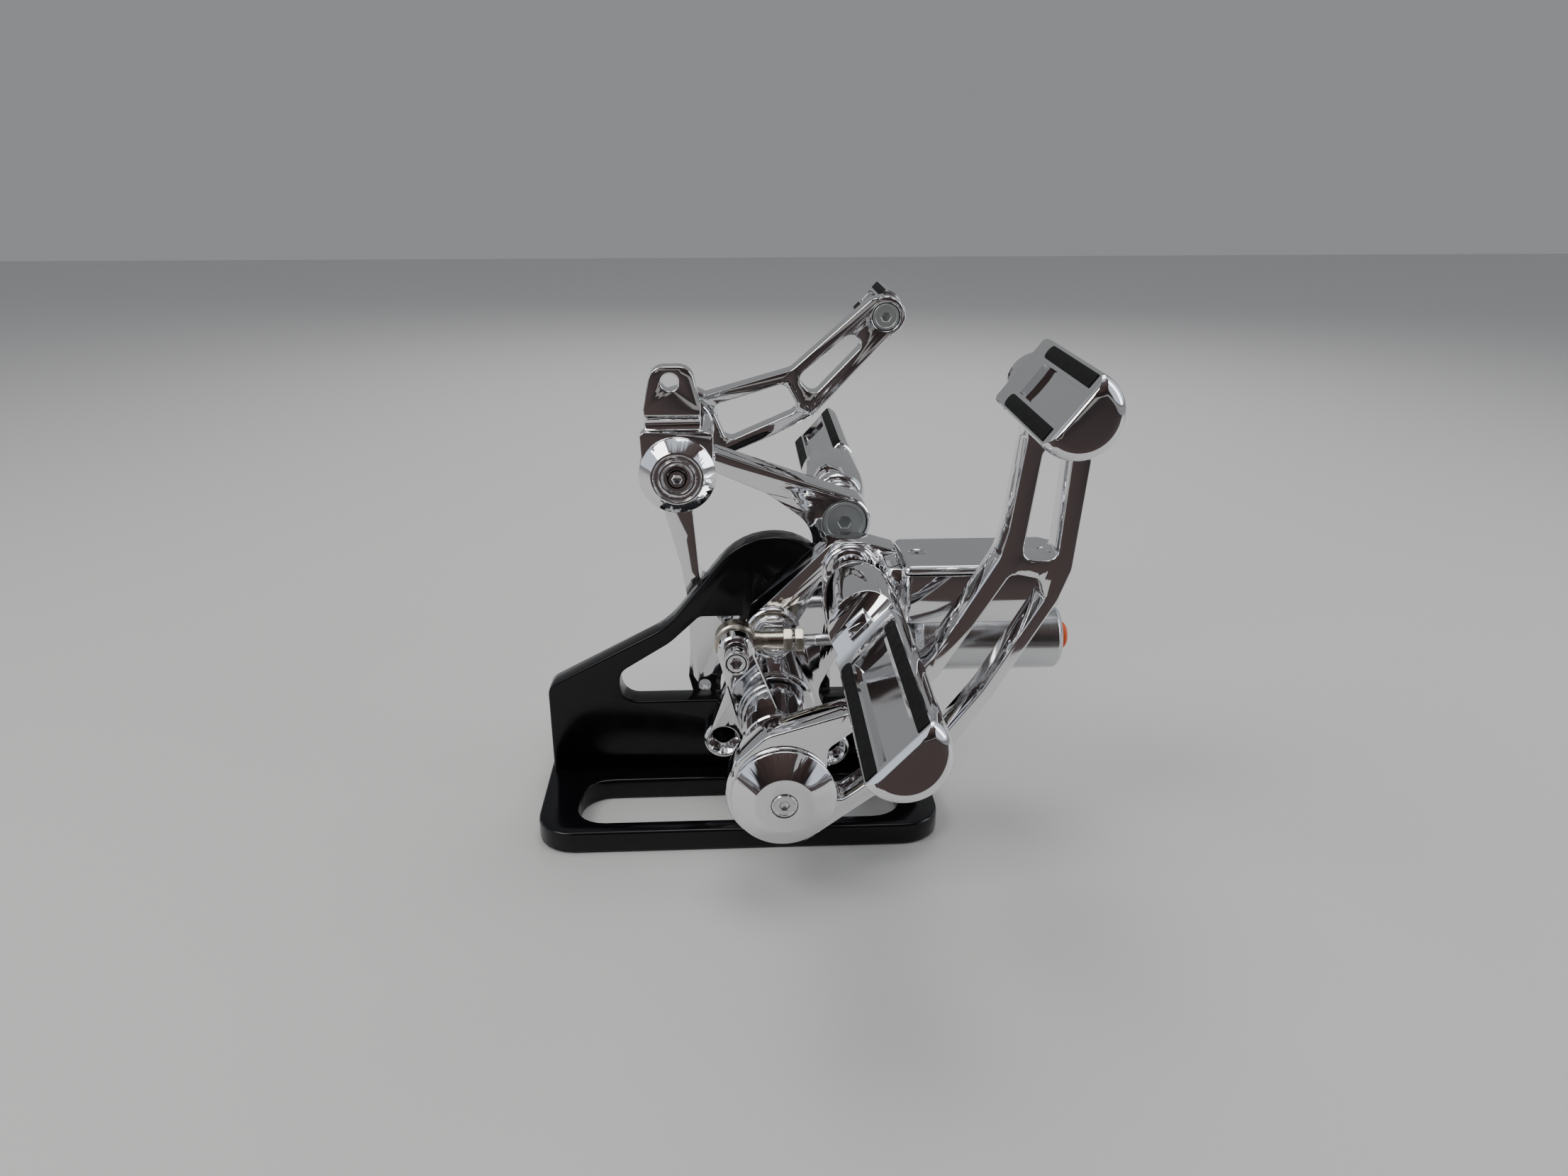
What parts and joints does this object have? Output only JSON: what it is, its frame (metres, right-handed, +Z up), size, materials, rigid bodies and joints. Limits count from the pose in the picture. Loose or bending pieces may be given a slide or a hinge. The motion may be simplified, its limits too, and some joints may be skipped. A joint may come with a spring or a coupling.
{
  "type": "motorcycle forward foot controls on a display stand",
  "caption": "Motorcycle forward controls on a slotted bench stand: brake pedal with footpeg, master cylinder and reservoir in front, shift lever with footpeg and toe peg behind.",
  "frame": {"origin": "middle of the base plate's underside", "axes": "+X along the base towards the brake cylinder, +Y away from the brake side, +Z up"},
  "size_m": [0.2748, 0.446, 0.2693],
  "materials": {
    "black_anodised": "gloss black anodised",
    "chrome": "mirror chrome plating",
    "bright_steel": "bright plated steel",
    "dark_screws": "dark steel screws",
    "zinc": "yellowish zinc plating",
    "aluminium": "satin machined aluminium",
    "bronze": "sintered bronze",
    "rubber": "matt black rubber",
    "orange_plug": "matt orange plastic"
  },
  "bodies": {
    "stand": {"base_plate": "black_anodised", "upright_plate": "black_anodised", "upright_screws": "dark_screws", "main_bolt": "bright_steel", "main_nut": "bright_steel", "right_bracket": "chrome", "right_peg_mount": "chrome", "right_peg": "chrome", "right_peg_rubbers": "rubber", "right_peg_bolt": "dark_screws", "pivot_shaft": "bright_steel", "pedal_cap": "chrome", "pedal_cap_screw": "bright_steel", "hub_seal": "rubber", "cylinder_barrel": "aluminium", "cylinder_circlip": "dark_screws", "port_plug": "orange_plug", "reservoir": "chrome", "reservoir_gasket": "rubber", "reservoir_lid": "chrome", "lid_screws": "bright_steel", "reservoir_screws": "dark_screws", "left_bracket": "chrome", "left_peg_mount": "chrome", "left_peg": "chrome", "left_peg_rubbers": "rubber", "left_peg_bolt": "bright_steel", "shift_bushes": "bronze"},
    "brake": {"brake_pedal": "chrome", "pivot_bushes": "bronze", "hub_pin": "bright_steel", "actuating_arm": "chrome", "brake_pad": "chrome", "brake_pad_rubbers": "rubber", "brake_pad_screw": "dark_screws", "rod_end_ball": "zinc", "rod_end_spacer": "chrome", "rod_end_screw": "bright_steel"},
    "rod": {"rod_end": "zinc", "rod_nuts": "zinc", "pushrod": "bright_steel"},
    "piston": {"cylinder_piston": "aluminium"},
    "shift": {"shift_shaft": "bright_steel", "linkage_arm": "chrome", "shift_cap": "chrome", "shift_cap_screw": "bright_steel", "shift_lever": "chrome", "shift_end_cap": "chrome", "shift_end_screw": "bright_steel", "toe_peg": "chrome", "toe_peg_rubbers": "rubber", "toe_peg_bolt": "bright_steel"}
  },
  "joints": [
    {"name": "brake_pivot", "type": "hinge", "parent": "stand", "child": "brake", "pos_m": [0.0208, -0.07, 0.0573], "axis": [0, 1, 0], "range_deg": [0, 8], "stiffness_Nm_per_rad": 1.5, "springref_deg": -60.16},
    {"name": "rod_pin", "type": "hinge", "parent": "brake", "child": "rod", "pos_m": [-0.0003, -0.048, 0.108], "axis": [0, 1, 0], "range_deg": [-7, 0]},
    {"name": "piston_slide", "type": "slide", "parent": "stand", "child": "piston", "axis": [1, 0, 0], "range_m": [0, 0.0075]},
    {"name": "shift_pivot", "type": "hinge", "parent": "stand", "child": "shift", "pos_m": [-0.0288, 0.06, 0.183], "axis": [0, 1, 0], "range_deg": [-12, 12]}
  ],
  "couplings": [
    {"joint": "rod_pin", "follows": "brake_pivot", "ratio": -0.83},
    {"joint": "piston_slide", "follows": "brake_pivot", "m_per_rad": 0.0518}
  ]
}
